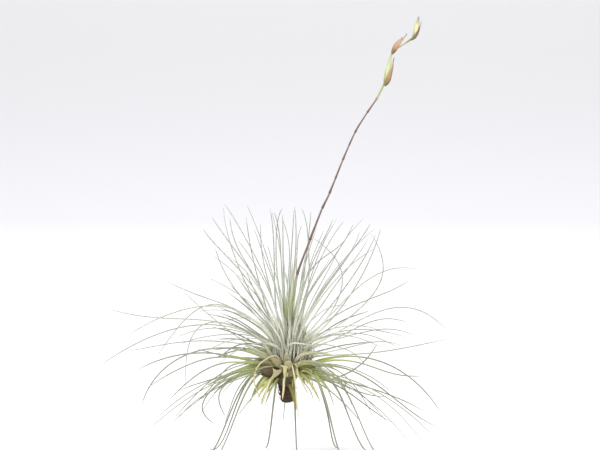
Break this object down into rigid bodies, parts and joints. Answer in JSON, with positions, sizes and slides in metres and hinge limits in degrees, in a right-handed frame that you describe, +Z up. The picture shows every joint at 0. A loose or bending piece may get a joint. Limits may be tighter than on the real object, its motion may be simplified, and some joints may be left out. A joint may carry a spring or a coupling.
{
  "type": "air plant",
  "caption": "Round rosette of thread-fine silver leaves on a short stem, standing on its drooping olive outer leaves, with a slender leaning flower spike.",
  "frame": {"origin": "on the surface the plant stands on, below the middle of its overall box", "axes": "+Z up, -Y towards the side seen in the picture, +X to that view's right, the way the flower spike leans"},
  "size_m": [0.1362, 0.1214, 0.1669],
  "materials": {
    "stem": "dry, fibrous brown stump",
    "dry_leaf": "withered cream leaf, papery",
    "green_leaf": "olive leaf base going grey and scurfy to the tip",
    "silver_leaf": "silver-grey leaf covered in fine scales, matt with a soft sheen",
    "fresh_leaf": "fresh green leaf, satin",
    "stalk": "reddish brown stalk with darker joints, green near its top",
    "bract": "withered flower bract, olive at the base and rust brown above",
    "calyx": "pale yellow-green, thin and slightly waxy"
  },
  "bodies": {
    "root": {"stem": "stem", "dry_leaves": "dry_leaf", "green_leaves": "green_leaf", "silver_leaves": "silver_leaf", "bract_leaves": "fresh_leaf", "spike": "stalk", "lower_bract": "bract", "lower_calyx": "calyx", "middle_bract": "bract", "upper_bract": "bract", "upper_calyx": "calyx"}
  },
  "joints": []
}
